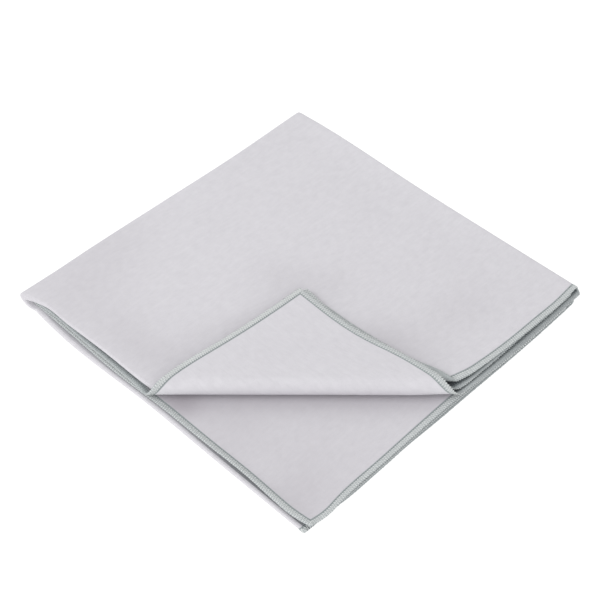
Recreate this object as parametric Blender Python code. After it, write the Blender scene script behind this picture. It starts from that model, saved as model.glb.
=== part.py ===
"""Camping towel: one thin microfibre sheet, folded in thirds, then in half, with one corner turned back.

Metres, +Z up. The folded square lies on z = 0, its cut edges on the -Y side, the crease of the fold in
half on the +Y side, and the turned-back corner at -X, -Y.
"""
import bmesh
import bpy
import numpy as np
from math import ceil, pi

MM = 0.001

# Sheet
LENGTH = 900 * MM                   # the way that is folded in thirds
WIDTH = 600 * MM                    # the way that is folded in half
THICK = 1.0 * MM
PITCH = 2.1 * MM                    # from one layer of the stack to the next
HALF_SIDE = 150 * MM                # half the side of the folded square
TOP_LEVEL = 2 * PITCH               # outermost panel above the innermost one, in a stack of three
MIDDLE = 2.5 * PITCH + THICK / 2    # height of the plane between the upper and the lower three layers
NEAR_CREASE = 300 * MM              # creases of the fold in thirds, measured along the sheet
FAR_CREASE = 601 * MM
NEAR_RADIUS = PITCH / 2             # bends of these creases: the near one joins neighbouring layers, the
FAR_RADIUS = PITCH                  # far one goes round the layer between
NEAR_ARC = pi * NEAR_RADIUS / 2     # cloth from the middle of a bend to its end
FAR_ARC = pi * FAR_RADIUS / 2
LEAN_REACH = 12 * MM                # of the crease of the fold in half, which leans out
CENTRING = (0.87 * MM, -2.30 * MM)    # moves the folded towel's box onto the origin

# Where creases and ends of the fold in thirds come to lie. Columns: place across the sheet in mm (0 and
# 600 are the cut edges, 300 the fold in half), mm inside (+) or outside (-) the side of the square
LEFT_CREASE = ((0, 7.2), (60, 6.8), (110, 6.4), (138, 5.6), (165, 4.4), (215, 4.8), (250, 4.6), (284, 3.8),
               (290, 1.8), (296, -0.8), (303, -0.2), (310, 1.4), (325, 0.2), (345, -1.6), (450, -1.8),
               (520, -3.6), (600, -5.2))
RIGHT_CREASE = ((0, -0.2), (150, -0.7), (290, -2.8), (330, 0.0), (450, 3.5), (600, 7.5))
HIDDEN_END = ((0, 9.0), (200, 12.0), (400, 13.0), (600, 17.0))
OPEN_END = ((0, -3.2), (29, -3.0), (76, -3.8), (135, -4.4), (150, -3.6), (160, -1.4), (170, 0.8), (189, 1.9),
            (235, 3.3), (272, 4.9), (300, 4.6), (346, 2.8), (400, 0.6), (448, 1.3), (500, 0.0), (540, -0.7),
            (565, -2.2), (580, -2.9), (590, -2.4), (600, -1.2))

# Where the cut edges and the crease of the fold in half come to lie, for the outermost, the middle and the
# innermost layer. Columns: x in mm, mm inside (+) or outside (-) the side of the square
UPPER_EDGE_OUTER = ((-150, 16.6), (-125, 16.1), (-93, 15.2), (-77, 13.9), (-55, 11.9), (-31, 9.6), (-8, 9.2),
                    (5, 9.6), (11, 9.0), (17, 7.5), (25, 5.8), (40, 4.6), (66, 3.4), (100, 2.9), (122, 2.7),
                    (150, 4.4))
UPPER_EDGE_MIDDLE = ((-150, 12.8), (-118, 12.5), (-93, 11.5), (-65, 8.0), (-45, 5.0), (-20, 4.6), (5, 5.8),
                     (17, 4.3), (34, 3.8), (85, 3.6), (112, 3.2), (150, 4.2))
UPPER_EDGE_INNER = ((-150, 9.0), (-110, 9.0), (-93, 8.0), (-75, 5.6), (-60, 2.8), (-45, 0.6), (-30, 0.0),
                    (-10, 0.2), (8, 1.6), (20, 1.4), (36, 0.5), (110, 0.2), (150, 1.2))
LOWER_EDGE_INNER = ((-150, -0.6), (-132, -1.4), (-117, 0.0), (-100, 0.6), (-80, 0.6), (-47, 1.4), (0, 2.0),
                    (60, 1.2), (150, 1.2))
LOWER_EDGE_OUTER = ((-150, 3.0), (-135, 3.0), (-120, 1.4), (-80, 1.1), (-50, 1.6), (-20, 0.9), (20, 0.7),
                    (70, 0.2), (108, 0.5), (130, 1.1), (150, 1.8))
BACK_CREASE_OUTER = ((-150, -4.2), (-80, -4.4), (-8, -3.1), (70, -1.4), (150, -2.1))
BACK_CREASE_LEAN = ((-150, 0.73), (-138, 0.62), (-115, 0.46), (-80, 0.42), (150, 0.42))  # per unit of height
BACK_CREASE_INNER = ((-150, 3.6), (0, 2.6), (150, 3.0))

# Turned-back corner
CREASE_LEFT = np.array((-144.2, 15.8)) * MM
CREASE_RIGHT = np.array((6.4, -141.8)) * MM
CREASE_LENGTH = float(np.linalg.norm(CREASE_RIGHT - CREASE_LEFT))
CREASE_RUN = (CREASE_RIGHT - CREASE_LEFT) / CREASE_LENGTH
CREASE_OUT = np.array((CREASE_RUN[1], -CREASE_RUN[0]))     # level, square to the crease, off the towel
INNER_RADIUS = 2.1 * MM             # of the top layer where it turns over
SETTLE = 55 * MM                    # the flap has come down onto the stack this far behind its crease
CREASE_LIFT = (0.7 * MM, 0.5 * MM)  # rise of the top layer at the crease: throughout, added at its right end
CREASE_LIFT_REACH = 34 * MM
BOUND_FROM, BOUND_TO = 6 * MM, 36 * MM      # the two outer layers share one bend this near their own crease
RECEDE_REACH = 34 * MM              # the crease draws back towards its right end, the outer layers' furthest
RECEDE = (1.6 * MM, 1.3 * MM, 2.2 * MM)     # of the third layer, added by share of TOP_LEVEL and its square

# Soft rises of the upper layers. Columns: x, y, reach in x, reach in y and height in mm, then how many
# layers rise together off the rest: three means that the rise fades out evenly through the stack
LIFTS = ((8, -146, 34, 26, 1.2, 1), (88, -150, 40, 20, 1.0, 2), (-150, 58, 22, 38, 1.2, 2),
         (-60, 60, 120, 110, 0.8, 3))
LOOSENING = 1.4                     # power by which an even rise fades out
PARTING = 0.6 * MM, 1.6 * MM        # levels over the layer below between which a rise sets in
# Rises of the fourth layer's open end, off the fifth. Columns as above, without the last
RIM_LIFTS = ((-150, -150, 9, 24, 1.6), (-150, -88, 4.5, 58, 2.1), (-85, -150, 55, 4.5, 1.6))

# Mesh
CELL = 25 * MM                      # length of a cell on the flat panels
THIRDS_STEPS = 6                    # cells round each crease of the fold in thirds
HALF_STEPS = 8                      # cells round the crease of the fold in half
CORNER_STEPS = 8                    # cells round the crease of the turned-back corner
FLAP_CUTS = (14 * MM, 32 * MM)      # extra rows of cells behind the crease, while the flap settles
STACK_CUTS = (14 * MM, 32 * MM)     # and before the crease, in the stack
END_CUTS = np.array((-5, 1, 7, 14, 24, 36)) * MM    # cuts across the crease, before its right end
END_CUT_REACH = 7 * MM
SAME_POINT = 0.001 * MM


def through(rows, place):
    """A smooth curve through a table's rows, read at places in metres."""
    at, value = np.array(rows, float).T * MM
    slope = np.gradient(value, at)
    place = np.clip(place, at[0], at[-1])
    i = np.clip(np.searchsorted(at, place, side="right") - 1, 0, len(at) - 2)
    step = at[i + 1] - at[i]
    t = (place - at[i]) / step
    ends = value[i] * (2 * t**3 - 3 * t**2 + 1) + value[i + 1] * (3 * t**2 - 2 * t**3)
    return ends + slope[i] * step * (t**3 - 2 * t**2 + t) + slope[i + 1] * step * (t**3 - t**2)


def ease(t):
    """Smooth step from 0 to 1."""
    t = np.clip(t, 0, 1)
    return t * t * (3 - 2 * t)


def swell(offset, reach):
    """Bell curve, 1 where offset is 0."""
    return np.exp(-((offset / reach) ** 2))


def fold_in_thirds(along, across, above):
    """Lays the hidden panel on the open panel and the outer panel on both. Gives x and the level."""
    left = -HALF_SIDE + through(LEFT_CREASE, across) + NEAR_RADIUS + THICK / 2
    right = HALF_SIDE - through(RIGHT_CREASE, across) - FAR_RADIUS - THICK / 2
    hidden_end = HALF_SIDE - through(HIDDEN_END, across)
    open_end = -HALF_SIDE + through(OPEN_END, across)
    turn_near = (along - NEAR_CREASE + NEAR_ARC) / (2 * NEAR_ARC) * pi
    turn_far = (along - FAR_CREASE + FAR_ARC) / (2 * FAR_ARC) * pi
    regions = (along <= NEAR_CREASE - NEAR_ARC, along < NEAR_CREASE + NEAR_ARC,
               along <= FAR_CREASE - FAR_ARC, along < FAR_CREASE + FAR_ARC)
    outer_run = (along - NEAR_CREASE - NEAR_ARC) / (FAR_CREASE - FAR_ARC - NEAR_CREASE - NEAR_ARC)
    open_run = (along - FAR_CREASE - FAR_ARC) / (LENGTH - FAR_CREASE - FAR_ARC)
    x = np.select(regions,
                  (hidden_end + (left - hidden_end) * along / (NEAR_CREASE - NEAR_ARC),
                   left - (NEAR_RADIUS + above) * np.sin(turn_near),
                   left + (right - left) * outer_run,
                   right + (FAR_RADIUS + above) * np.sin(turn_far)),
                  right + (open_end - right) * open_run)
    level = np.select(regions,
                      (PITCH - above,
                       PITCH + NEAR_RADIUS - (NEAR_RADIUS + above) * np.cos(turn_near),
                       TOP_LEVEL + above,
                       PITCH + (FAR_RADIUS + above) * np.cos(turn_far)),
                      -above)
    return x, level


def half_fold_arc(level):
    """Half the length of cloth that goes round the crease of the fold in half, at a level."""
    return pi * (PITCH / 2 + level) / 2


def fold_in_half(x, level, mid_level, across):
    """Folds the stack of three onto itself. Gives y and z."""
    outer = level / TOP_LEVEL
    radius = PITCH / 2 + level
    lie = np.clip(x, -HALF_SIDE, HALF_SIDE)
    apex = HALF_SIDE - through(BACK_CREASE_INNER, lie) * (1 - outer) - through(BACK_CREASE_OUTER, lie) * outer
    upper = (-HALF_SIDE + through(UPPER_EDGE_INNER, lie) * (1 - outer) * (1 - 2 * outer)
             + through(UPPER_EDGE_MIDDLE, lie) * 4 * outer * (1 - outer)
             + through(UPPER_EDGE_OUTER, lie) * outer * (2 * outer - 1))
    lower = -HALF_SIDE + through(LOWER_EDGE_INNER, lie) * (1 - outer) + through(LOWER_EDGE_OUTER, lie) * outer
    centre = apex - radius
    middle = WIDTH / 2
    arc = half_fold_arc(mid_level)
    turn = (across - middle + arc) / (2 * arc) * pi
    regions = (across <= middle - arc, across < middle + arc)
    y = np.select(regions,
                  (upper + (centre - upper) * across / (middle - arc),
                   centre + radius * np.sin(turn)),
                  lower + (centre - lower) * (WIDTH - across) / (middle - arc))
    z = np.select(regions, (MIDDLE + radius, MIDDLE + radius * np.cos(turn)), MIDDLE - radius)
    lean = through(BACK_CREASE_LEAN, lie) / MM
    y = y + lean * (z - MIDDLE) * ease((y - centre + LEAN_REACH) / LEAN_REACH)
    return y, z


def stack_place(along, across, above):
    """A point of the sheet in the flat stack, with the height of the mid-surface there: x, y, z, mid z."""
    x, level = fold_in_thirds(along, across, above)
    mid_x, mid_level = fold_in_thirds(along, across, 0.0)
    y, z = fold_in_half(x, level, mid_level, across)
    mid_z = fold_in_half(mid_x, mid_level, mid_level, across)[1]
    return np.stack(np.broadcast_arrays(x, y, z, mid_z), -1)


def crease_place(x, y):
    """Distance along the crease of the turned-back corner, and out past it."""
    dx = x - CREASE_LEFT[0]
    dy = y - CREASE_LEFT[1]
    return dx * CREASE_RUN[0] + dy * CREASE_RUN[1], dx * CREASE_OUT[0] + dy * CREASE_OUT[1]


def loosen(mid_level, layers):
    """The share that a layer takes of a rise of the top layer."""
    if layers == 3:
        return np.clip(mid_level / TOP_LEVEL, 0, 1) ** LOOSENING
    start, end = PARTING
    return ease((mid_level - (2 - layers) * PITCH - start) / (end - start))


def rise(x, y, mid_level):
    """How far a layer of the upper stack rises off a flat stack."""
    along_crease, past = crease_place(x, y)
    throughout, at_right = CREASE_LIFT
    at_crease = throughout + at_right * ease(along_crease / CREASE_LENGTH) ** 2
    total = at_crease * swell(np.minimum(past, 0), CREASE_LIFT_REACH) * loosen(mid_level, 3)
    for at_x, at_y, reach_x, reach_y, height, layers in LIFTS:
        there = swell(x - at_x * MM, reach_x * MM) * swell(y - at_y * MM, reach_y * MM)
        total = total + height * MM * there * loosen(mid_level, layers)
    return total


def rim_rise(x, y, mid_z):
    """How far the lower stack's top layer rises at its open end."""
    start, end = PARTING
    total = 0.0
    for at_x, at_y, reach_x, reach_y, height in RIM_LIFTS:
        total = total + height * MM * swell(x - at_x * MM, reach_x * MM) * swell(y - at_y * MM, reach_y * MM)
    return total * ease((mid_z - (MIDDLE - PITCH / 2 - PITCH) - start) / (end - start))


def crease_radius(x, y, level, mid_level):
    """Bend radius of a level of the upper stack at a place of the turned-back corner's crease."""
    return INNER_RADIUS + TOP_LEVEL - level + rise(x, y, TOP_LEVEL) - rise(x, y, mid_level)


def recede(along_crease, mid_level):
    """How far the crease of the corner draws back at a place and a layer."""
    outer = np.clip(mid_level / TOP_LEVEL, 0, 1)
    third, by_share, by_square = RECEDE
    at_end = third + by_share * outer + by_square * outer**2
    return at_end * ease((along_crease - CREASE_LENGTH + RECEDE_REACH) / RECEDE_REACH)


def turn_corner(x, y, z, mid_z):
    """Lifts the layers softly and turns the upper ones' front left corner back over the crease."""
    base = MIDDLE + PITCH / 2
    level, mid_level = z - base, mid_z - base
    along_crease, past_crease = crease_place(x, y)
    back_off = recede(along_crease, mid_level)
    past_crease = past_crease + back_off
    on_x = CREASE_LEFT[0] + along_crease * CREASE_RUN[0]
    on_y = CREASE_LEFT[1] + along_crease * CREASE_RUN[1]
    radius = crease_radius(on_x, on_y, level, mid_level)
    own = crease_radius(on_x, on_y, mid_level, mid_level)
    shared = crease_radius(on_x, on_y, TOP_LEVEL - PITCH / 2, TOP_LEVEL - PITCH / 2)
    bound = (1 - ease((x + HALF_SIDE - BOUND_FROM) / (BOUND_TO - BOUND_FROM))) * (mid_level > PITCH / 2)
    arc = pi * (own + (shared - own) * bound)
    over = np.maximum(past_crease, 0)
    angle = np.minimum(over / arc, 1) * pi
    beyond = np.maximum(over - arc, 0)
    back = np.where(over < arc, radius * np.sin(angle), -beyond) - back_off
    turned_x = on_x + back * CREASE_OUT[0]
    turned_y = on_y + back * CREASE_OUT[1]
    settled = ease(beyond / SETTLE)
    under_flap = base + TOP_LEVEL + rise(turned_x, turned_y, TOP_LEVEL)
    flap_z = under_flap + (INNER_RADIUS + radius) * (1 - settled) + (PITCH + TOP_LEVEL - level) * settled
    bend_z = base + TOP_LEVEL + rise(on_x, on_y, TOP_LEVEL) + INNER_RADIUS - radius * np.cos(angle)
    turned_z = np.where(over < arc, bend_z, flap_z)
    upper = mid_z > MIDDLE
    turned = upper & (past_crease > 0)
    rises = np.where(upper, rise(x, y, mid_level), rim_rise(x, y, mid_z))
    return np.where(turned, turned_x, x), np.where(turned, turned_y, y), np.where(turned, turned_z, z + rises)


def stations(*spans):
    """Places along a line from spans of (start, end, steps), each end shared with the next start."""
    places = [np.array([spans[0][0]])]
    for start, end, steps in spans:
        places.append(np.linspace(start, end, steps + 1)[1:])
    return np.concatenate(places)


def sheet_grid():
    """Grid of places on the flat sheet. Those across it crowd round the fold in half, at each level's arc."""
    panel_steps = round(NEAR_CREASE / CELL)
    along = stations((0, NEAR_CREASE - NEAR_ARC, panel_steps),
                     (NEAR_CREASE - NEAR_ARC, NEAR_CREASE + NEAR_ARC, THIRDS_STEPS),
                     (NEAR_CREASE + NEAR_ARC, FAR_CREASE - FAR_ARC, panel_steps),
                     (FAR_CREASE - FAR_ARC, FAR_CREASE + FAR_ARC, THIRDS_STEPS),
                     (FAR_CREASE + FAR_ARC, LENGTH, panel_steps))
    flat_steps = round(WIDTH / 2 / CELL)
    # -2 and 2 are the cut edges, -1 and 1 the ends of the bend
    share = stations((-2, -1, flat_steps), (-1, 1, HALF_STEPS), (1, 2, flat_steps))
    arc = half_fold_arc(fold_in_thirds(along, 0.0, 0.0)[1])[:, None]
    beyond = np.sign(share) * np.maximum(np.abs(share) - 1, 0)
    across = WIDTH / 2 + np.clip(share, -1, 1) * arc + beyond * (WIDTH / 2 - arc)
    return np.broadcast_arrays(along[:, None], across)


def add_sheet(bm, mid):
    """Adds the closed sheet, folded but with its corner not yet turned back."""
    along, across = sheet_grid()
    rows, columns = along.shape
    sides = []
    for above in (THICK / 2, -THICK / 2):
        places = stack_place(along, across, above).reshape(-1, 4)
        verts = []
        for x, y, z, mid_z in places.tolist():
            vert = bm.verts.new((x, y, z))
            vert[mid] = mid_z
            verts.append(vert)
        sides.append(np.array(verts, dtype=object).reshape(rows, columns))
    face, back = sides
    for i in range(rows - 1):
        for j in range(columns - 1):
            bm.faces.new((face[i, j], face[i + 1, j], face[i + 1, j + 1], face[i, j + 1]))
            bm.faces.new((back[i, j], back[i, j + 1], back[i + 1, j + 1], back[i + 1, j]))
    rim = [(i, 0) for i in range(rows)] + [(rows - 1, j) for j in range(1, columns)]
    rim += [(i, columns - 1) for i in range(rows - 2, -1, -1)] + [(0, j) for j in range(columns - 2, 0, -1)]
    for here, there in zip(rim, rim[1:] + rim[:1]):
        bm.faces.new((face[here], back[here], back[there], face[there]))


def cut(bm, faces, point, normal):
    """Cuts faces along an upright plane."""
    edges = {e for f in faces for e in f.edges}
    verts = {v for f in faces for v in f.verts}
    bmesh.ops.bisect_plane(bm, geom=list(verts) + list(edges) + faces, dist=SAME_POINT,
                           plane_co=(point[0], point[1], 0), plane_no=(normal[0], normal[1], 0))


def cut_crease_rows(bm, mid):
    """Cuts rows of cells round the corner's crease into the upper layers, each at its own radius."""
    base = MIDDLE + PITCH / 2
    on_crease = (CREASE_LEFT + CREASE_RIGHT) / 2
    for layer in range(3):
        level = layer * PITCH
        arc = pi * float(crease_radius(*on_crease, level, level))
        before = ceil(recede(CREASE_LENGTH, level) / arc * CORNER_STEPS) + 1
        steps = CORNER_STEPS + (CORNER_STEPS // 2 if layer == 2 else 0)
        offsets = [arc * step / CORNER_STEPS for step in range(-before, steps + 1)]
        offsets += [arc + behind for behind in FLAP_CUTS]
        offsets += [-before for before in STACK_CUTS]
        for offset in offsets:
            faces = [f for f in bm.faces
                     if abs(max(v[mid] for v in f.verts) - base - level) < PITCH / 2
                     and max(v.co.y for v in f.verts) < HALF_SIDE - LEAN_REACH]
            cut(bm, faces, on_crease + offset * CREASE_OUT, CREASE_OUT)
        for before_end in END_CUTS:
            place = CREASE_LENGTH - before_end
            faces = []
            for f in bm.faces:
                along_crease, past = crease_place(*f.calc_center_median().xy)
                if (abs(max(v[mid] for v in f.verts) - base - level) < PITCH / 2
                        and abs(along_crease - place) < CELL and -END_CUT_REACH < past < arc + END_CUT_REACH):
                    faces.append(f)
            cut(bm, faces, CREASE_LEFT + place * CREASE_RUN, CREASE_RUN)


def make_towel():
    """The towel as one closed solid."""
    bm = bmesh.new()
    mid = bm.verts.layers.float.new("mid")
    add_sheet(bm, mid)
    cut_crease_rows(bm, mid)
    bmesh.ops.triangulate(bm, faces=list(bm.faces))
    bm.verts.ensure_lookup_table()
    x, y, z, mid_z = np.array([(*v.co, v[mid]) for v in bm.verts]).T
    for vert, place in zip(bm.verts, zip(*turn_corner(x, y, z, mid_z))):
        vert.co = (place[0] + CENTRING[0], place[1] + CENTRING[1], place[2])
    bmesh.ops.recalc_face_normals(bm, faces=list(bm.faces))
    mesh = bpy.data.meshes.new("towel")
    bm.to_mesh(mesh)
    bm.free()
    mesh.shade_smooth()
    towel = bpy.data.objects.new("towel", mesh)
    bpy.context.scene.collection.objects.link(towel)
    return towel


def microfibre():
    """Brushed microfibre, pale lilac grey."""
    material = bpy.data.materials.new("microfibre")
    material.use_nodes = True
    shader = material.node_tree.nodes["Principled BSDF"]
    shader.inputs["Base Color"].default_value = (0.66, 0.64, 0.68, 1)
    shader.inputs["Roughness"].default_value = 0.9
    shader.inputs["Metallic"].default_value = 0.0
    return material


for old in list(bpy.data.objects):
    bpy.data.objects.remove(old)
make_towel().data.materials.append(microfibre())
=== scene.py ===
"""A camping towel of thin brushed microfibre, folded in thirds and then in half, one corner turned back.

The towel is one cut panel with an overlocked edge. It is laid out flat here in its own sizes, and fold()
carries every point of the cloth, and of the thread sewn to it, to where the folding puts it.
"""
from math import ceil, pi, radians

import bmesh
import bpy
import numpy as np
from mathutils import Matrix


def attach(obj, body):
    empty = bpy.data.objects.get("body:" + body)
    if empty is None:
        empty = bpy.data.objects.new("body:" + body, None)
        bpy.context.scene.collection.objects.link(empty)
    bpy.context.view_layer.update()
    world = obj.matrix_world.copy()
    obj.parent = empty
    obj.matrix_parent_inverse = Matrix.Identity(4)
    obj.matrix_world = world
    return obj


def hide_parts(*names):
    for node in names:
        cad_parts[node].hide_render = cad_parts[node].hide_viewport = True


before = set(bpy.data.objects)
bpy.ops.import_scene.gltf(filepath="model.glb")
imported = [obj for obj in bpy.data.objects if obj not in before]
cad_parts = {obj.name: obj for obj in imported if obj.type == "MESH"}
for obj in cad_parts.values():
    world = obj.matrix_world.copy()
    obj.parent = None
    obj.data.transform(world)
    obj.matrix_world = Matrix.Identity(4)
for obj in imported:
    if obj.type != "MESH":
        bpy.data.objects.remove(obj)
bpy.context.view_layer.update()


# ---------------------------------------------------------------- Camera
# A long lens on a stand off the front corner of the square, tilted down so that it looks over the towel
# along its diagonal. All of the towel is in view, with a margin round it.

camera_data = bpy.data.cameras.new("camera")
camera_data.lens = 96
camera_data.sensor_width = 36
camera_data.clip_start = 0.05
camera_data.clip_end = 20
camera = bpy.data.objects.new("camera", camera_data)
camera.location = (-0.60843, -0.58300, 0.8903)
camera.rotation_euler = (radians(43.503), 0, radians(-46.146))
bpy.context.scene.collection.objects.link(camera)
bpy.context.scene.camera = camera


# ---------------------------------------------------------------- Towel cloth
# One rectangle of brushed microfibre, cut from the roll and folded by hand: the two ends are laid over
# each other in thirds, the long stack is folded in half, and the top three layers are turned back at a
# corner. Its edges lie a few millimetres out of line, as they do in any cloth that was folded by hand.

MM = 0.001

LENGTH = 900 * MM                   # the way that is folded in thirds
WIDTH = 600 * MM                    # the way that is folded in half
THICK = 1.0 * MM
PITCH = 2.1 * MM                    # from one layer of the stack to the next
HALF_SIDE = 150 * MM                # half the side of the folded square
TOP_LEVEL = 2 * PITCH               # outermost panel above the innermost one, in a stack of three
MIDDLE = 2.5 * PITCH + THICK / 2    # height of the plane between the upper and the lower three layers
NEAR_CREASE = 300 * MM              # creases of the fold in thirds, measured along the sheet
FAR_CREASE = 601 * MM
NEAR_RADIUS = PITCH / 2             # bends of these creases: the near one joins neighbouring layers, the
FAR_RADIUS = PITCH                  # far one goes round the layer between
NEAR_ARC = pi * NEAR_RADIUS / 2     # cloth from the middle of a bend to its end
FAR_ARC = pi * FAR_RADIUS / 2
LEAN_REACH = 12 * MM                # of the crease of the fold in half, which leans out
CENTRING = (0.87 * MM, -2.30 * MM)  # moves the folded towel's box onto the origin

# Where creases and ends of the fold in thirds come to lie. Columns: place across the sheet in mm (0 and
# 600 are the cut edges, 300 the fold in half), mm inside (+) or outside (-) the side of the square
LEFT_CREASE = ((0, 7.2), (60, 6.8), (110, 6.4), (138, 5.6), (165, 4.4), (215, 4.8), (250, 4.6), (284, 3.8),
               (290, 1.8), (296, -0.8), (303, -0.2), (310, 1.4), (325, 0.2), (345, -1.6), (450, -1.8),
               (520, -3.6), (600, -5.2))
RIGHT_CREASE = ((0, -0.2), (150, -0.7), (290, -2.8), (330, 0.0), (450, 3.5), (600, 7.5))
HIDDEN_END = ((0, 9.0), (200, 12.0), (400, 13.0), (600, 17.0))
OPEN_END = ((0, -3.2), (29, -3.0), (76, -3.8), (135, -4.4), (150, -3.6), (160, -1.4), (170, 0.8), (189, 1.9),
            (235, 3.3), (272, 4.9), (300, 4.6), (346, 2.8), (400, 0.6), (448, 1.3), (500, 0.0), (540, -0.7),
            (565, -2.2), (580, -2.9), (590, -2.4), (600, -1.2))

# Where the cut edges and the crease of the fold in half come to lie, for the outermost, the middle and the
# innermost layer. Columns: x in mm, mm inside (+) or outside (-) the side of the square
UPPER_EDGE_OUTER = ((-150, 16.6), (-125, 16.1), (-93, 15.2), (-77, 13.9), (-55, 11.9), (-31, 9.6), (-8, 9.2),
                    (5, 9.6), (11, 9.0), (17, 7.5), (25, 5.8), (40, 4.6), (66, 3.4), (100, 2.9), (122, 2.7),
                    (150, 4.4))
UPPER_EDGE_MIDDLE = ((-150, 12.8), (-118, 12.5), (-93, 11.5), (-65, 8.0), (-45, 5.0), (-20, 4.6), (5, 5.8),
                     (17, 4.3), (34, 3.8), (85, 3.6), (112, 3.2), (150, 4.2))
UPPER_EDGE_INNER = ((-150, 9.0), (-110, 9.0), (-93, 8.0), (-75, 5.6), (-60, 2.8), (-45, 0.6), (-30, 0.0),
                    (-10, 0.2), (8, 1.6), (20, 1.4), (36, 0.5), (110, 0.2), (150, 1.2))
LOWER_EDGE_INNER = ((-150, -0.6), (-132, -1.4), (-117, 0.0), (-100, 0.6), (-80, 0.6), (-47, 1.4), (0, 2.0),
                    (60, 1.2), (150, 1.2))
LOWER_EDGE_OUTER = ((-150, 3.0), (-135, 3.0), (-120, 1.4), (-80, 1.1), (-50, 1.6), (-20, 0.9), (20, 0.7),
                    (70, 0.2), (108, 0.5), (130, 1.1), (150, 1.8))
BACK_CREASE_OUTER = ((-150, -4.2), (-80, -4.4), (-8, -3.1), (70, -1.4), (150, -2.1))
BACK_CREASE_LEAN = ((-150, 0.73), (-138, 0.62), (-115, 0.46), (-80, 0.42), (150, 0.42))  # per unit of height
BACK_CREASE_INNER = ((-150, 3.6), (0, 2.6), (150, 3.0))

# Turned-back corner
CREASE_LEFT = np.array((-144.2, 15.8)) * MM
CREASE_RIGHT = np.array((6.4, -141.8)) * MM
CREASE_LENGTH = float(np.linalg.norm(CREASE_RIGHT - CREASE_LEFT))
CREASE_RUN = (CREASE_RIGHT - CREASE_LEFT) / CREASE_LENGTH
CREASE_OUT = np.array((CREASE_RUN[1], -CREASE_RUN[0]))     # level, square to the crease, off the towel
INNER_RADIUS = 2.1 * MM             # of the top layer where it turns over
SETTLE = 55 * MM                    # the flap has come down onto the stack this far behind its crease
CREASE_LIFT = (0.7 * MM, 0.5 * MM)  # rise of the top layer at the crease: throughout, added at its right end
CREASE_LIFT_REACH = 34 * MM
BOUND_FROM, BOUND_TO = 6 * MM, 36 * MM      # the two outer layers share one bend this near their own crease
RECEDE_REACH = 34 * MM              # the crease draws back towards its right end, the outer layers' furthest
RECEDE = (1.6 * MM, 1.3 * MM, 2.2 * MM)     # of the third layer, added by share of TOP_LEVEL and its square

# Soft rises of the upper layers. Columns: x, y, reach in x, reach in y and height in mm, then how many
# layers rise together off the rest: three means that the rise fades out evenly through the stack
LIFTS = ((8, -146, 34, 26, 1.2, 1), (88, -150, 40, 20, 1.0, 2), (-150, 58, 22, 38, 1.2, 2),
         (-60, 60, 120, 110, 0.8, 3))
LOOSENING = 1.4                     # power by which an even rise fades out
PARTING = 0.6 * MM, 1.6 * MM        # levels over the layer below between which a rise sets in
# Rises of the fourth layer's open end, off the fifth. Columns as above, without the last
RIM_LIFTS = ((-150, -150, 9, 24, 1.6), (-150, -88, 4.5, 58, 2.1), (-85, -150, 55, 4.5, 1.6))


def through(rows, place):
    """A smooth curve through a table's rows, read at places in metres."""
    at, value = np.array(rows, float).T * MM
    slope = np.gradient(value, at)
    place = np.clip(place, at[0], at[-1])
    i = np.clip(np.searchsorted(at, place, side="right") - 1, 0, len(at) - 2)
    step = at[i + 1] - at[i]
    t = (place - at[i]) / step
    ends = value[i] * (2 * t**3 - 3 * t**2 + 1) + value[i + 1] * (3 * t**2 - 2 * t**3)
    return ends + slope[i] * step * (t**3 - 2 * t**2 + t) + slope[i + 1] * step * (t**3 - t**2)


def ease(t):
    """Smooth step from 0 to 1."""
    t = np.clip(t, 0, 1)
    return t * t * (3 - 2 * t)


def swell(offset, reach):
    """Bell curve, 1 where offset is 0."""
    return np.exp(-((offset / reach) ** 2))


def fold_in_thirds(along, across, above):
    """Lays the hidden panel on the open panel and the outer panel on both. Gives x and the level."""
    left = -HALF_SIDE + through(LEFT_CREASE, across) + NEAR_RADIUS + THICK / 2
    right = HALF_SIDE - through(RIGHT_CREASE, across) - FAR_RADIUS - THICK / 2
    hidden_end = HALF_SIDE - through(HIDDEN_END, across)
    open_end = -HALF_SIDE + through(OPEN_END, across)
    turn_near = (along - NEAR_CREASE + NEAR_ARC) / (2 * NEAR_ARC) * pi
    turn_far = (along - FAR_CREASE + FAR_ARC) / (2 * FAR_ARC) * pi
    regions = (along <= NEAR_CREASE - NEAR_ARC, along < NEAR_CREASE + NEAR_ARC,
               along <= FAR_CREASE - FAR_ARC, along < FAR_CREASE + FAR_ARC)
    outer_run = (along - NEAR_CREASE - NEAR_ARC) / (FAR_CREASE - FAR_ARC - NEAR_CREASE - NEAR_ARC)
    open_run = (along - FAR_CREASE - FAR_ARC) / (LENGTH - FAR_CREASE - FAR_ARC)
    x = np.select(regions,
                  (hidden_end + (left - hidden_end) * along / (NEAR_CREASE - NEAR_ARC),
                   left - (NEAR_RADIUS + above) * np.sin(turn_near),
                   left + (right - left) * outer_run,
                   right + (FAR_RADIUS + above) * np.sin(turn_far)),
                  right + (open_end - right) * open_run)
    level = np.select(regions,
                      (PITCH - above,
                       PITCH + NEAR_RADIUS - (NEAR_RADIUS + above) * np.cos(turn_near),
                       TOP_LEVEL + above,
                       PITCH + (FAR_RADIUS + above) * np.cos(turn_far)),
                      -above)
    return x, level


def half_fold_arc(level):
    """Half the length of cloth that goes round the crease of the fold in half, at a level."""
    return pi * (PITCH / 2 + level) / 2


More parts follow.
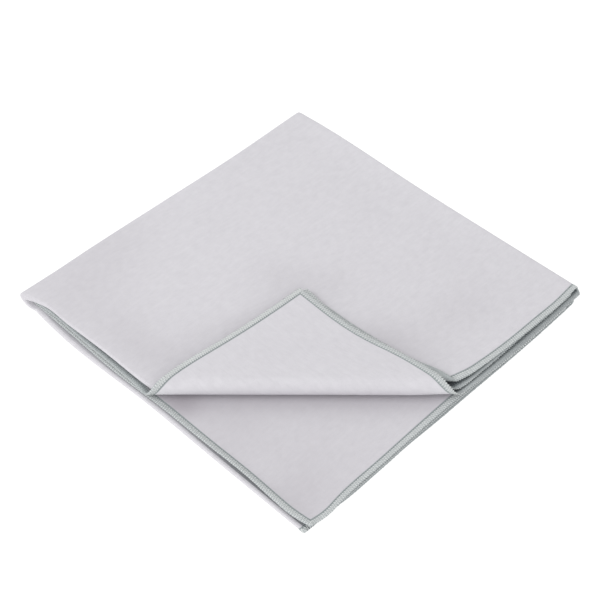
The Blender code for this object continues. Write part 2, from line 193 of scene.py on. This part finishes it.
def fold_in_half(x, level, mid_level, across):
    """Folds the stack of three onto itself. Gives y and z."""
    outer = level / TOP_LEVEL
    radius = PITCH / 2 + level
    lie = np.clip(x, -HALF_SIDE, HALF_SIDE)
    apex = HALF_SIDE - through(BACK_CREASE_INNER, lie) * (1 - outer) - through(BACK_CREASE_OUTER, lie) * outer
    upper = (-HALF_SIDE + through(UPPER_EDGE_INNER, lie) * (1 - outer) * (1 - 2 * outer)
             + through(UPPER_EDGE_MIDDLE, lie) * 4 * outer * (1 - outer)
             + through(UPPER_EDGE_OUTER, lie) * outer * (2 * outer - 1))
    lower = -HALF_SIDE + through(LOWER_EDGE_INNER, lie) * (1 - outer) + through(LOWER_EDGE_OUTER, lie) * outer
    centre = apex - radius
    middle = WIDTH / 2
    arc = half_fold_arc(mid_level)
    turn = (across - middle + arc) / (2 * arc) * pi
    regions = (across <= middle - arc, across < middle + arc)
    y = np.select(regions,
                  (upper + (centre - upper) * across / (middle - arc),
                   centre + radius * np.sin(turn)),
                  lower + (centre - lower) * (WIDTH - across) / (middle - arc))
    z = np.select(regions, (MIDDLE + radius, MIDDLE + radius * np.cos(turn)), MIDDLE - radius)
    lean = through(BACK_CREASE_LEAN, lie) / MM
    y = y + lean * (z - MIDDLE) * ease((y - centre + LEAN_REACH) / LEAN_REACH)
    return y, z


def stack_place(along, across, above):
    """A point of the sheet in the flat stack, with the height of the mid-surface there: x, y, z, mid z."""
    x, level = fold_in_thirds(along, across, above)
    mid_x, mid_level = fold_in_thirds(along, across, 0.0)
    y, z = fold_in_half(x, level, mid_level, across)
    mid_z = fold_in_half(mid_x, mid_level, mid_level, across)[1]
    return np.stack(np.broadcast_arrays(x, y, z, mid_z), -1)


def crease_place(x, y):
    """Distance along the crease of the turned-back corner, and out past it."""
    dx = x - CREASE_LEFT[0]
    dy = y - CREASE_LEFT[1]
    return dx * CREASE_RUN[0] + dy * CREASE_RUN[1], dx * CREASE_OUT[0] + dy * CREASE_OUT[1]


def loosen(mid_level, layers):
    """The share that a layer takes of a rise of the top layer."""
    if layers == 3:
        return np.clip(mid_level / TOP_LEVEL, 0, 1) ** LOOSENING
    start, end = PARTING
    return ease((mid_level - (2 - layers) * PITCH - start) / (end - start))


def rise(x, y, mid_level):
    """How far a layer of the upper stack rises off a flat stack."""
    along_crease, past = crease_place(x, y)
    throughout, at_right = CREASE_LIFT
    at_crease = throughout + at_right * ease(along_crease / CREASE_LENGTH) ** 2
    total = at_crease * swell(np.minimum(past, 0), CREASE_LIFT_REACH) * loosen(mid_level, 3)
    for at_x, at_y, reach_x, reach_y, height, layers in LIFTS:
        there = swell(x - at_x * MM, reach_x * MM) * swell(y - at_y * MM, reach_y * MM)
        total = total + height * MM * there * loosen(mid_level, layers)
    return total


def rim_rise(x, y, mid_z):
    """How far the lower stack's top layer rises at its open end."""
    start, end = PARTING
    total = 0.0
    for at_x, at_y, reach_x, reach_y, height in RIM_LIFTS:
        total = total + height * MM * swell(x - at_x * MM, reach_x * MM) * swell(y - at_y * MM, reach_y * MM)
    return total * ease((mid_z - (MIDDLE - PITCH / 2 - PITCH) - start) / (end - start))


def crease_radius(x, y, level, mid_level):
    """Bend radius of a level of the upper stack at a place of the turned-back corner's crease."""
    return INNER_RADIUS + TOP_LEVEL - level + rise(x, y, TOP_LEVEL) - rise(x, y, mid_level)


def recede(along_crease, mid_level):
    """How far the crease of the corner draws back at a place and a layer."""
    outer = np.clip(mid_level / TOP_LEVEL, 0, 1)
    third, by_share, by_square = RECEDE
    at_end = third + by_share * outer + by_square * outer**2
    return at_end * ease((along_crease - CREASE_LENGTH + RECEDE_REACH) / RECEDE_REACH)


def turn_corner(x, y, z, mid_z):
    """Lifts the layers softly and turns the upper ones' front left corner back over the crease."""
    base = MIDDLE + PITCH / 2
    level, mid_level = z - base, mid_z - base
    along_crease, past_crease = crease_place(x, y)
    back_off = recede(along_crease, mid_level)
    past_crease = past_crease + back_off
    on_x = CREASE_LEFT[0] + along_crease * CREASE_RUN[0]
    on_y = CREASE_LEFT[1] + along_crease * CREASE_RUN[1]
    radius = crease_radius(on_x, on_y, level, mid_level)
    own = crease_radius(on_x, on_y, mid_level, mid_level)
    shared = crease_radius(on_x, on_y, TOP_LEVEL - PITCH / 2, TOP_LEVEL - PITCH / 2)
    bound = (1 - ease((x + HALF_SIDE - BOUND_FROM) / (BOUND_TO - BOUND_FROM))) * (mid_level > PITCH / 2)
    arc = pi * (own + (shared - own) * bound)
    over = np.maximum(past_crease, 0)
    angle = np.minimum(over / arc, 1) * pi
    beyond = np.maximum(over - arc, 0)
    back = np.where(over < arc, radius * np.sin(angle), -beyond) - back_off
    turned_x = on_x + back * CREASE_OUT[0]
    turned_y = on_y + back * CREASE_OUT[1]
    settled = ease(beyond / SETTLE)
    under_flap = base + TOP_LEVEL + rise(turned_x, turned_y, TOP_LEVEL)
    flap_z = under_flap + (INNER_RADIUS + radius) * (1 - settled) + (PITCH + TOP_LEVEL - level) * settled
    bend_z = base + TOP_LEVEL + rise(on_x, on_y, TOP_LEVEL) + INNER_RADIUS - radius * np.cos(angle)
    turned_z = np.where(over < arc, bend_z, flap_z)
    upper = mid_z > MIDDLE
    turned = upper & (past_crease > 0)
    rises = np.where(upper, rise(x, y, mid_level), rim_rise(x, y, mid_z))
    return np.where(turned, turned_x, x), np.where(turned, turned_y, y), np.where(turned, turned_z, z + rises)


def fold(along, across, above):
    """Where a point of the flat sheet lies on the folded towel, as rows of x, y, z."""
    x, y, z = turn_corner(*np.moveaxis(stack_place(along, across, above), -1, 0))
    return np.stack((x + CENTRING[0], y + CENTRING[1], z), -1)


# The sheet as a mesh. It is thinner along the row of needle stitches and at the trimmed edge.
CELL = 6 * MM
EDGE_ROWS = np.array((0, 0.6, 1.4, 2.3, 3.1, 3.7, 4.1, 4.4, 4.7, 5.2, 6.2, 8.5)) * MM
BAND = 4.3 * MM                     # from the cut edge to the row of needle stitches
GROOVE_WIDTH, GROOVE_DEPTH = 0.5 * MM, 0.42
TRIMMED_WIDTH, TRIMMED_DEPTH = 1.0 * MM, 0.3
RIM_SWELL = 0.22 * MM
THIRDS_STEPS = 12                   # cells round each crease of the fold in thirds
HALF_STEPS = 18                     # cells round the crease of the fold in half
CORNER_STEPS = 14                   # cells round the crease of the turned-back corner
ROWS_BEHIND_CREASE = 2 * CELL       # reach of the cells behind that crease that may take its rows
SAME_POINT = 0.001 * MM


def stations(*spans):
    """Places along a line from spans of (start, end, steps), each end shared with the next start."""
    places = [np.array([spans[0][0]])]
    for start, end, steps in spans:
        places.append(np.linspace(start, end, steps + 1)[1:])
    return np.concatenate(places)


def cells(start, end):
    """Span of even cells for stations()."""
    return start, end, max(1, round((end - start) / CELL))


def sheet_grid():
    """Grid of places on the flat sheet, crowded at the edging and round each bend."""
    inner = EDGE_ROWS[-1]
    along = np.concatenate((EDGE_ROWS[:-1], stations(
        cells(inner, NEAR_CREASE - NEAR_ARC),
        (NEAR_CREASE - NEAR_ARC, NEAR_CREASE + NEAR_ARC, THIRDS_STEPS),
        cells(NEAR_CREASE + NEAR_ARC, FAR_CREASE - FAR_ARC),
        (FAR_CREASE - FAR_ARC, FAR_CREASE + FAR_ARC, THIRDS_STEPS),
        cells(FAR_CREASE + FAR_ARC, LENGTH - inner)), LENGTH - EDGE_ROWS[-2::-1]))
    arc = half_fold_arc(fold_in_thirds(along, 0.0, 0.0)[1])[:, None]
    flat_steps = round((WIDTH / 2 - inner) / CELL)
    to_bend = np.linspace(0, 1, flat_steps + 1)
    run_in = inner + (WIDTH / 2 - arc - inner) * to_bend
    bend = WIDTH / 2 + arc * np.linspace(-1, 1, HALF_STEPS + 1)[1:-1]
    edge = np.broadcast_to(EDGE_ROWS[:-1], (len(along), len(EDGE_ROWS) - 1))
    across = np.concatenate((edge, run_in, bend, WIDTH - run_in[:, ::-1], WIDTH - edge[:, ::-1]), 1)
    return np.broadcast_arrays(along[:, None], across)


def half_thickness(along, across):
    """Half the cloth's thickness at a place of the sheet."""
    inside = np.minimum(np.minimum(along, LENGTH - along), np.minimum(across, WIDTH - across))
    groove = GROOVE_DEPTH * swell(inside - BAND, GROOVE_WIDTH)
    trimmed = TRIMMED_DEPTH * (1 - ease(inside / TRIMMED_WIDTH))
    return THICK / 2 * (1 - groove - trimmed)


def add_sheet(bm, keys):
    """Adds the closed sheet in the flat stack, each vertex with its own place on the cloth."""
    along, across = sheet_grid()
    rows, columns = along.shape
    half = half_thickness(along, across)

    def add_verts(along, across, above):
        places = np.concatenate((stack_place(along, across, above),
                                 np.stack(np.broadcast_arrays(along, across, above), -1)), -1)
        verts = []
        for x, y, z, *kept in places.reshape(-1, 7).tolist():
            vert = bm.verts.new((x, y, z))
            for key, value in zip(keys, kept):
                vert[key] = value
            verts.append(vert)
        return np.array(verts, dtype=object)

    face = add_verts(along, across, half).reshape(rows, columns)
    back = add_verts(along, across, -half).reshape(rows, columns)
    for i in range(rows - 1):
        for j in range(columns - 1):
            bm.faces.new((face[i, j], face[i + 1, j], face[i + 1, j + 1], face[i, j + 1]))
            bm.faces.new((back[i, j], back[i, j + 1], back[i + 1, j + 1], back[i + 1, j]))
    rim = [(i, 0) for i in range(rows)] + [(rows - 1, j) for j in range(1, columns)]
    rim += [(i, columns - 1) for i in range(rows - 2, -1, -1)] + [(0, j) for j in range(columns - 2, 0, -1)]
    rim_along = np.array([along[p] for p in rim])
    rim_across = np.array([across[p] for p in rim])
    out_along = np.where(rim_along <= 0, -RIM_SWELL, np.where(rim_along >= LENGTH, RIM_SWELL, 0))
    out_across = np.where(rim_across <= 0, -RIM_SWELL, np.where(rim_across >= WIDTH, RIM_SWELL, 0))
    edge = add_verts(rim_along + out_along, rim_across + out_across, np.zeros(len(rim)))
    for here in range(len(rim)):
        there = (here + 1) % len(rim)
        bm.faces.new((face[rim[here]], edge[here], edge[there], face[rim[there]]))
        bm.faces.new((edge[here], back[rim[here]], back[rim[there]], edge[there]))


def cut_crease_rows(bm, mid):
    """Cuts rows of cells round the corner's crease into the upper layers, each at its own radius."""
    base = MIDDLE + PITCH / 2
    on_crease = (CREASE_LEFT + CREASE_RIGHT) / 2
    corner = [f for f in bm.faces
              if f.verts[0][mid] > MIDDLE and crease_place(*f.verts[0].co.xy)[1] > -ROWS_BEHIND_CREASE]
    for layer in range(3):
        level = layer * PITCH
        arc = pi * float(crease_radius(*on_crease, level, level))
        before = ceil(recede(CREASE_LENGTH, level) / arc * CORNER_STEPS) + 1
        steps = CORNER_STEPS + (CORNER_STEPS // 2 if layer == 2 else 0)
        faces = [f for f in corner if abs(max(v[mid] for v in f.verts) - base - level) < PITCH / 2]
        for step in range(-before, steps + 1):
            point = on_crease + arc * step / CORNER_STEPS * CREASE_OUT
            edges = {e for f in faces for e in f.edges}
            verts = {v for f in faces for v in f.verts}
            cut = bmesh.ops.bisect_plane(bm, geom=list(verts) + list(edges) + faces, dist=SAME_POINT,
                                         plane_co=(point[0], point[1], 0),
                                         plane_no=(CREASE_OUT[0], CREASE_OUT[1], 0))
            faces = [f for f in cut["geom"] if isinstance(f, bmesh.types.BMFace)]


# Shade in the gaps between the layers, on the face that lies inward in the stack
RIM_SHADE = 0.4                     # share of the shade at the cut edge
FULL_SHADE_FROM = 4.2 * MM          # in from the cut edge
END_SHADE = 0.6                     # share at the ends of the sheet, where the gaps stand more open


def gap_depth(along, across, inside):
    """How deep the shade is in the gap at the nearest cut edge, at a distance in from that edge."""
    at_end = np.minimum(along, LENGTH - along) < np.minimum(across, WIDTH - across)
    return (RIM_SHADE + (1 - RIM_SHADE) * ease(inside / FULL_SHADE_FROM)) * np.where(at_end, END_SHADE, 1)


def gap_share(along, across, above):
    """The shade on the face that lies inward, 0 on the other face and along the one inward edge in sight."""
    inside = np.minimum(np.minimum(along, LENGTH - along), np.minimum(across, WIDTH - across))
    in_sight = (along > NEAR_CREASE) & (along < FAR_CREASE) & (across < WIDTH / 2) & (inside < 2 * BAND)
    return np.where(in_sight, 0, np.clip(-above / (THICK / 2), 0, 1) * gap_depth(along, across, inside))


def make_cloth():
    """The folded sheet as one closed mesh. Its UVs: place on the flat cloth in metres, shade in the gaps."""
    bm = bmesh.new()
    keys = [bm.verts.layers.float.new(name) for name in ("mid", "along", "across", "above")]
    add_sheet(bm, keys)
    cut_crease_rows(bm, keys[0])
    bmesh.ops.triangulate(bm, faces=[f for f in bm.faces if len(f.verts) > 4])
    along, across, above = np.array([[v[key] for key in keys[1:]] for v in bm.verts]).T
    for vert, place in zip(bm.verts, fold(along, across, above).tolist()):
        vert.co = place
    bmesh.ops.recalc_face_normals(bm, faces=list(bm.faces))
    hidden = gap_share(along, across, above)
    bm.verts.index_update()
    uv = bm.loops.layers.uv.new("cloth")
    gap = bm.loops.layers.uv.new("gap")
    for f in bm.faces:
        f.smooth = True
        for loop in f.loops:
            loop[uv].uv = (loop.vert[keys[1]], loop.vert[keys[2]])
            loop[gap].uv = (hidden[loop.vert.index], 0)
    mesh = bpy.data.meshes.new("towel_cloth")
    bm.to_mesh(mesh)
    bm.free()
    for name in ("mid", "along", "across", "above"):
        mesh.attributes.remove(mesh.attributes[name])
    cloth = bpy.data.objects.new("towel_cloth", mesh)
    bpy.context.scene.collection.objects.link(cloth)
    return cloth


class Wire:
    """One shader socket. Python's operators on it add Math nodes, and add() adds any other node."""

    def __init__(self, tree, socket=None):
        self.tree = tree
        self.socket = socket

    def add(self, kind, settings=None, values=None, out=0):
        """Adds a node: its settings first, then a value or a Wire for each named or numbered socket."""
        node = self.tree.nodes.new("ShaderNode" + kind)
        for name, setting in (settings or {}).items():
            setattr(node, name, setting)
        for key, value in (values or {}).items():
            if isinstance(value, Wire):
                self.tree.links.new(value.socket, node.inputs[key])
            else:
                node.inputs[key].default_value = value
        return Wire(self.tree, node.outputs[out])

    def feed(self, shader, name):
        """Links this Wire to one of the shader's sockets."""
        self.tree.links.new(self.socket, shader.inputs[name])

    def math(self, operation, *values):
        """Adds a Math node."""
        return self.add("Math", {"operation": operation}, dict(enumerate(values)))

    def __add__(self, other):
        return self.math("ADD", self, other)

    def __sub__(self, other):
        return self.math("SUBTRACT", self, other)

    def __rsub__(self, other):
        return self.math("SUBTRACT", other, self)

    def __mul__(self, other):
        return self.math("MULTIPLY", self, other)

    def __truediv__(self, other):
        return self.math("DIVIDE", self, other)

    __radd__ = __add__
    __rmul__ = __mul__

    def bell(self, centre, reach):
        """1 at centre, falling off smoothly over reach."""
        offset = (self - centre) / reach
        return self.math("EXPONENT", offset * offset * -1)

    def step(self, start, end):
        """Smooth step from 0 at start to 1 at end."""
        values = {"Value": self, "From Min": start, "From Max": end}
        return self.add("MapRange", {"interpolation_type": "SMOOTHSTEP", "clamp": True}, values)

    def mix(self, colour, other):
        """Goes from colour to other as this value goes from 0 to 1."""
        return self.add("Mix", {"data_type": "RGBA"}, {0: self, 6: colour, 7: other}, out=2)

    def noise(self, scale, detail, roughness):
        """Cloudy noise around 0, with this Wire as its place."""
        values = {"Vector": self, "Scale": scale, "Detail": detail, "Roughness": roughness}
        return self.add("TexNoise", {"noise_dimensions": "3D"}, values) - 0.5

    def stretched(self, across, along):
        """This vector with its X and Y scaled."""
        return self.add("VectorMath", {"operation": "MULTIPLY"}, {0: self, 1: (across, along, 1)})


def new_material(name, **constants):
    """A material, the start of its wires and its shader, with the shader's constant values set."""
    material = bpy.data.materials.new(name)
    material.use_nodes = True
    shader = material.node_tree.nodes["Principled BSDF"]
    for socket, value in constants.items():
        shader.inputs[socket.replace("_", " ")].default_value = value
    return material, Wire(material.node_tree), shader


# Brushed microfibre: short matt nap in pale lilac grey, with the faint clouds that brushing leaves. The
# edging's band is a little cooler and darker under the thread. Painted shade lies along the groove of its
# needle holes, in soft patches of the nap, under the corner's crease and in the gaps between the layers;
# a few patches are painted lighter.
NAP = (0.706, 0.694, 0.727, 1)
NAP_DARK = (0.634, 0.622, 0.654, 1)
SHADE_COLOUR = (0.425, 0.400, 0.432, 1)  # painted shade, a little pinkish
UNDER_EDGING = (0.390, 0.430, 0.432, 1)
# painted shade in the groove along the needle holes
GROOVE_SHADE = (0.190, 0.235, 0.235, 1)
IN_GAPS = (0.125, 0.136, 0.148, 1)

# Unevenness of the nap. Columns: patches in a metre, detail, roughness
CLOUDS, MOTTLING, BRUSHING, GRAIN = (26, 3, 0.55), (150, 3, 0.6), (420, 4, 0.6), (1100, 3, 0.7)
BRUSHED_LONG = 0.25                 # share of the brushing's patches in a metre, the way it was brushed
MID_SHADE = 0.4                     # share of the dark nap on the whole

# Soft patches of painted shade on the nap; a negative share paints light instead. Columns: mm along and
# across the sheet, reach each way, share
SHADE_PATCHES = ((330, 270, 45, 40, 0.20), (388, 285, 30, 22, 0.12), (322, 190, 22, 45, 0.22),
         (352, 165, 26, 14, 0.10), (393, 152, 30, 12, 0.14), (446, 166, 20, 20, 0.12),
         (468, 138, 20, 20, 0.12), (456, 60, 20, 30, 0.24), (517, 48, 34, 24, 0.13),
         (600, 180, 20, 110, -0.10), (841, 540, 90, 90, 0.20), (888, 456, 15, 16, 0.52),
         (879, 495, 26, 30, 0.18), (886, 575, 30, 26, 0.20))
# even share of the painted shade all over, from which the lighter patches are taken
BASE_SHADE_SHARE = 0.10
CREASE_SHADOW = 0.32            # painted shadow of the corner's crease, on the layer laid bare under it
UNDER_CREASE = (4 * MM, 15 * MM)    # out past that crease, and reach

EDGING_FROM, EDGING_TO = BAND - 0.5 * MM, BAND + 0.1 * MM
EDGING_COVER = 0.75
LINE_AT, LINE_REACH = BAND + 0.25 * MM, 0.60 * MM
LINE_COVER = 0.85

GAP_FROM, GAP_TO = 0.35, 0.75       # of the shade in the gaps, where the colour sets in and is full
# The fifth layer's rim comes out from under the fourth, shaded: places along the sheet, then across it
LOWER_RIM = (296.8 * MM, 297.6 * MM)
BEHIND_LOWER_RIM = (257.2 * MM, 267.2 * MM)
FIRST_SHADED = (310 * MM, 330 * MM)
DEEPER_SHADED = (450 * MM, 545 * MM)
FIRST_SHADE = 0.4
LOWER_RIM_COVER = 0.75

microfibre, start, shader = new_material("microfibre", Roughness=0.94, Sheen_Weight=0.22,
                                         Sheen_Roughness=0.45, Specular_IOR_Level=0.2)
place = start.add("UVMap", {"uv_map": "cloth"})
place_along = place.add("SeparateXYZ", None, {0: place})
place_across = place.add("SeparateXYZ", None, {0: place}, out=1)
from_ends = place_along.math("MINIMUM", place_along, LENGTH - place_along)
from_edges = place_across.math("MINIMUM", place_across, WIDTH - place_across)
inside = from_ends.math("MINIMUM", from_ends, from_edges)
brushing = place.stretched(BRUSHED_LONG, 1.0).noise(*BRUSHING)
grain = place.noise(*GRAIN)
shade = place.noise(*CLOUDS) * 0.45 + place.noise(*MOTTLING) * 1.3 + brushing * 1.3 + grain * 1.2 + MID_SHADE
colour = shade.mix(NAP, NAP_DARK)

# Painted shade, and painted light where a share is negative, in soft patches on the nap
painted_shade = BASE_SHADE_SHARE
for at_along, at_across, reach_along, reach_across, share in SHADE_PATCHES:
    painted_shade = painted_shade + (place_along.bell(at_along * MM, reach_along * MM)
                         * place_across.bell(at_across * MM, reach_across * MM) * share)
# Painted shadow of the turned-back corner, on the layer laid bare just out past its crease
laid_bare = (place_along.step(FAR_CREASE - MM, FAR_CREASE + MM)
             * place_across.step(WIDTH / 2 - MM, WIDTH / 2 + MM))
from_crease = ((LENGTH - HALF_SIDE - CREASE_LEFT[0] + MM - place_along) * CREASE_OUT[0]
               + (WIDTH - HALF_SIDE - CREASE_LEFT[1] - place_across) * CREASE_OUT[1])
painted_shade = painted_shade + laid_bare * from_crease.bell(*UNDER_CREASE) * CREASE_SHADOW
# The painted shade of the patches and of the crease goes into the colour
colour = painted_shade.mix(colour, SHADE_COLOUR)
colour = ((1 - inside.step(EDGING_FROM, EDGING_TO)) * EDGING_COVER).mix(colour, UNDER_EDGING)
# Painted shade along the groove of the needle holes
colour = (inside.bell(LINE_AT, LINE_REACH) * LINE_COVER).mix(colour, GROOVE_SHADE)

in_gap = start.add("UVMap", {"uv_map": "gap"})
in_gap = in_gap.add("SeparateXYZ", None, {0: in_gap}).step(GAP_FROM, GAP_TO)
lower_rim = ((1 - place_along.step(*LOWER_RIM)) * place_along.step(*BEHIND_LOWER_RIM)
             * (place_across.step(*DEEPER_SHADED) * (1 - FIRST_SHADE) + FIRST_SHADE)
             * place_across.step(*FIRST_SHADED))
colour = in_gap.math("MAXIMUM", in_gap, lower_rim * LOWER_RIM_COVER).mix(colour, IN_GAPS)
colour.feed(shader, "Base Color")
nap_relief = {"Height": grain * 0.5 + brushing * 0.6, "Distance": 0.10 * MM, "Strength": 0.5}
start.add("Bump", None, nap_relief).feed(shader, "Normal")

cloth = make_cloth()
cloth.data.materials.append(microfibre)
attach(cloth, "root")
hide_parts("towel")


# ---------------------------------------------------------------- Overlocked edging
# Three threads sewn over all four cut edges in one run on an overlock machine. The two loopers cross the
# band on the face and on the back and meet in a knot at the rim; the needle thread holds both down.

STITCH = 2.0 * MM
LOOPER_THREAD = 0.23 * MM           # radius
NEEDLE_THREAD = 0.15 * MM
THREAD_SIDES = 5
UPRIGHT = (0.0, 0.35, 1.0)          # no thread runs this way, so its section can be set square to it
UNEVEN_ALONG, UNEVEN_ACROSS = 0.09 * MM, 0.13 * MM
# Kinds of thread, as a place on the U axis: the under looper is shaded where it lies inward in the stack
UPPER_LOOPER, UNDER_LOOPER, HIDDEN_LOOPER, NEEDLE_ROW = 0.1, 0.4, 0.6, 0.9
UPPER_TO_UNDER, HIDDEN_TO_NEEDLE = (0.2, 0.3), (0.7, 0.8)   # where the colour of one kind gives way

# One stitch. Columns: share of the stitch along the edge, mm in from the cut edge, mm above mid-cloth
LOOPER = ((0.00, 4.20, 0.28), (0.07, 3.70, 0.46), (0.17, 2.80, 0.55), (0.28, 1.70, 0.56), (0.38, 0.70, 0.50),
          (0.46, 0.05, 0.36), (0.50, -0.28, 0.00), (0.54, 0.05, 0.36), (0.62, 0.70, 0.50),
          (0.72, 1.70, 0.56), (0.83, 2.80, 0.55), (0.93, 3.70, 0.46))
NEEDLE = ((0.02, 4.30, 0.05), (0.14, 4.30, 0.38), (0.50, 4.30, 0.46), (0.86, 4.30, 0.38), (0.98, 4.30, 0.05))

# The four cut edges: name, its length, and how a place along and in from it reads on the cloth
EDGES = (("edging_front_upper", LENGTH, lambda along, inward: (along, inward)),
         ("edging_front_lower", LENGTH, lambda along, inward: (LENGTH - along, WIDTH - inward)),
         ("edging_hidden_end", WIDTH, lambda along, inward: (inward, WIDTH - along)),
         ("edging_open_end", WIDTH, lambda along, inward: (LENGTH - inward, along)))


def sewn(row, length, side, phase, chance):
    """The line of one thread along an edge, stitch after stitch: along, inward and above as columns."""
    share, inward, above = np.array(row).T
    count = int(length / STITCH) - 1
    first = (length - count * STITCH) / 2
    stitch = np.arange(count)[:, None]
    along = first + (stitch + share + phase) * STITCH
    along = along + chance.normal(0, UNEVEN_ALONG, (count, 1)) * np.sin(pi * share) ** 2
    inward = inward * MM + chance.normal(0, UNEVEN_ACROSS, (count, 1)) * (inward < 1)
    above = np.broadcast_to(above * MM * side, along.shape)
    return np.stack((along.ravel(), np.broadcast_to(inward, along.shape).ravel(), above.ravel()), -1)


def tube(line, radius):
    """Round thread along a line of points: its vertices and faces, closed at both ends."""
    ahead = np.gradient(line, axis=0)
    ahead = ahead / np.linalg.norm(ahead, axis=1)[:, None]
    beside = np.cross(ahead, UPRIGHT)
    beside = beside / np.linalg.norm(beside, axis=1)[:, None]
    up = np.cross(beside, ahead)
    angle = np.arange(THREAD_SIDES) * 2 * pi / THREAD_SIDES
    ring = beside[:, None] * np.cos(angle)[:, None] + up[:, None] * np.sin(angle)[:, None]
    verts = (line[:, None] + radius * ring).reshape(-1, 3)
    at = np.arange(len(line) - 1)[:, None] * THREAD_SIDES
    side = np.arange(THREAD_SIDES)
    following = (side + 1) % THREAD_SIDES
    faces = np.stack(np.broadcast_arrays(at + side, at + following, at + THREAD_SIDES + following,
                                         at + THREAD_SIDES + side), -1).reshape(-1, 4).tolist()
    last = (len(line) - 1) * THREAD_SIDES
    return verts, faces + [list(side[::-1]), list(last + side)]


def make_edging(name, length, on_cloth, chance):
    """The three threads of one edge, sewn flat and folded with the cloth. Their UV: kind, place along."""
    lines = ((sewn(LOOPER, length, 1, 0.0, chance), LOOPER_THREAD),
             (sewn(LOOPER, length, -1, 0.5, chance), LOOPER_THREAD),
             (sewn(NEEDLE, length, 1, 0.0, chance), NEEDLE_THREAD))
    verts, faces, kinds = [], [], []
    for kind, (line, radius) in zip((UPPER_LOOPER, UNDER_LOOPER, NEEDLE_ROW), lines):
        tube_verts, tube_faces = tube(line, radius)
        first = sum(len(v) for v in verts)
        verts.append(tube_verts)
        faces += [[first + corner for corner in face] for face in tube_faces]
        kinds += [kind] * len(tube_verts)
    along, inward, above = np.concatenate(verts).T
    on_along, on_across = on_cloth(along, inward)
    in_sight = (on_along > NEAR_CREASE) & (on_along < FAR_CREASE) & (on_across < WIDTH / 2)
    shaded = (np.array(kinds) == UNDER_LOOPER) & ~in_sight
    kinds = kinds + (HIDDEN_LOOPER - UNDER_LOOPER) * shaded * gap_depth(on_along, on_across, inward)
    mesh = bpy.data.meshes.new(name)
    mesh.from_pydata(fold(on_along, on_across, above).tolist(), [], faces)
    corners = np.zeros(len(mesh.loops), int)
    mesh.loops.foreach_get("vertex_index", corners)
    uv = np.stack((kinds[corners], along[corners]), -1)
    mesh.uv_layers.new(name="thread").data.foreach_set("uv", uv.ravel())
    mesh.shade_smooth()
    edging = bpy.data.objects.new(name, mesh)
    bpy.context.scene.collection.objects.link(edging)
    return edging


# Fine polyester thread, matt, a little cooler than the cloth. Painted shade darkens the under looper a
# little, the needle thread sunk in its groove more, and the under looper in the gaps most
THREAD = (0.722, 0.742, 0.735, 1)
THREAD_DARK = (0.588, 0.614, 0.607, 1)
# the under looper, a little darker with painted shade
THREAD_UNDER_SHADED = (0.540, 0.578, 0.574, 1)
THREAD_HIDDEN = (0.230, 0.268, 0.284, 1)
# the needle thread, darker with painted shade where it sinks into its groove
THREAD_NEEDLE_SHADED = (0.330, 0.375, 0.375, 1)
FIBRES, DRIFT = (2600, 2, 0.6), (60, 2, 0.5)    # patches in a metre, detail, roughness
MID_THREAD = 0.35                   # share of the dark thread on the whole
SEED = 7

thread, start, shader = new_material("overlock_thread", Roughness=0.7, Sheen_Weight=0.2, Sheen_Roughness=0.5,
                                     Specular_IOR_Level=0.3)
place = start.add("TexCoord", out=3)
fibres = place.noise(*FIBRES)
kind = start.add("UVMap", {"uv_map": "thread"})
kind = kind.add("SeparateXYZ", None, {0: kind})
colour = (fibres * 1.1 + place.noise(*DRIFT) * 0.8 + MID_THREAD).mix(THREAD, THREAD_DARK)
# Painted shade: the under looper a little darker than the upper one
colour = kind.step(*UPPER_TO_UNDER).mix(colour, THREAD_UNDER_SHADED)
colour = kind.step(UNDER_LOOPER, HIDDEN_LOOPER).mix(colour, THREAD_HIDDEN)
# Painted shade on the needle thread, sunk in its groove
colour = kind.step(*HIDDEN_TO_NEEDLE).mix(colour, THREAD_NEEDLE_SHADED)
colour.feed(shader, "Base Color")
start.add("Bump", None, {"Height": fibres, "Distance": 0.06 * MM, "Strength": 0.6}).feed(shader, "Normal")

chance = np.random.default_rng(SEED)
for name, length, on_cloth in EDGES:
    edging = make_edging(name, length, on_cloth, chance)
    edging.data.materials.append(thread)
    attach(edging, "root")
    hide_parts("towel")


# ---------------------------------------------------------------- Surface and light
# The towel lies on a plain white surface in soft light from all round. Three softboxes add a little more:
# the strongest from the left, one from behind, and one low in front that lights the edges.

FLOOR_REACH = 3.0
FLOOR_BELOW = 0.5 * MM              # the surface is this far under the cloth, clear of the thread
floor_corners = [(x * FLOOR_REACH, y * FLOOR_REACH, 0) for x, y in ((-1, -1), (1, -1), (1, 1), (-1, 1))]
floor_mesh = bpy.data.meshes.new("floor")
floor_mesh.from_pydata(floor_corners, [], [(0, 1, 2, 3)])
floor = bpy.data.objects.new("floor", floor_mesh)
floor.location.z = -FLOOR_BELOW
bpy.context.scene.collection.objects.link(floor)
white, start, shader = new_material("white_surface", Base_Color=(0.2, 0.2, 0.2, 1), Roughness=0.9,
                                    Emission_Color=(1, 1, 1, 1), Emission_Strength=0.92)
floor.data.materials.append(white)

world = bpy.data.worlds.new("studio")
world.use_nodes = True
sky = world.node_tree.nodes["Background"].inputs
sky["Color"].default_value = (1, 1, 1, 1)
sky["Strength"].default_value = 0.70
bpy.context.scene.world = world

# Columns: name, place, size in metres, watts
LAMPS = (("left_softbox", (-1.5, 1.1, 1.9), 1.6, 20.2),
         ("back_softbox", (0.9, 1.5, 1.7), 1.4, 7),
         ("front_softbox", (-1.4, -1.4, 0.9), 1.4, 11))
for name, at, size, watts in LAMPS:
    lamp_data = bpy.data.lights.new(name, "AREA")
    lamp_data.size = size
    lamp_data.energy = watts
    lamp = bpy.data.objects.new(name, lamp_data)
    lamp.location = at
    lamp.rotation_euler = (-lamp.location).to_track_quat("-Z", "Y").to_euler()
    bpy.context.scene.collection.objects.link(lamp)
bpy.context.scene.view_settings.view_transform = "Standard"
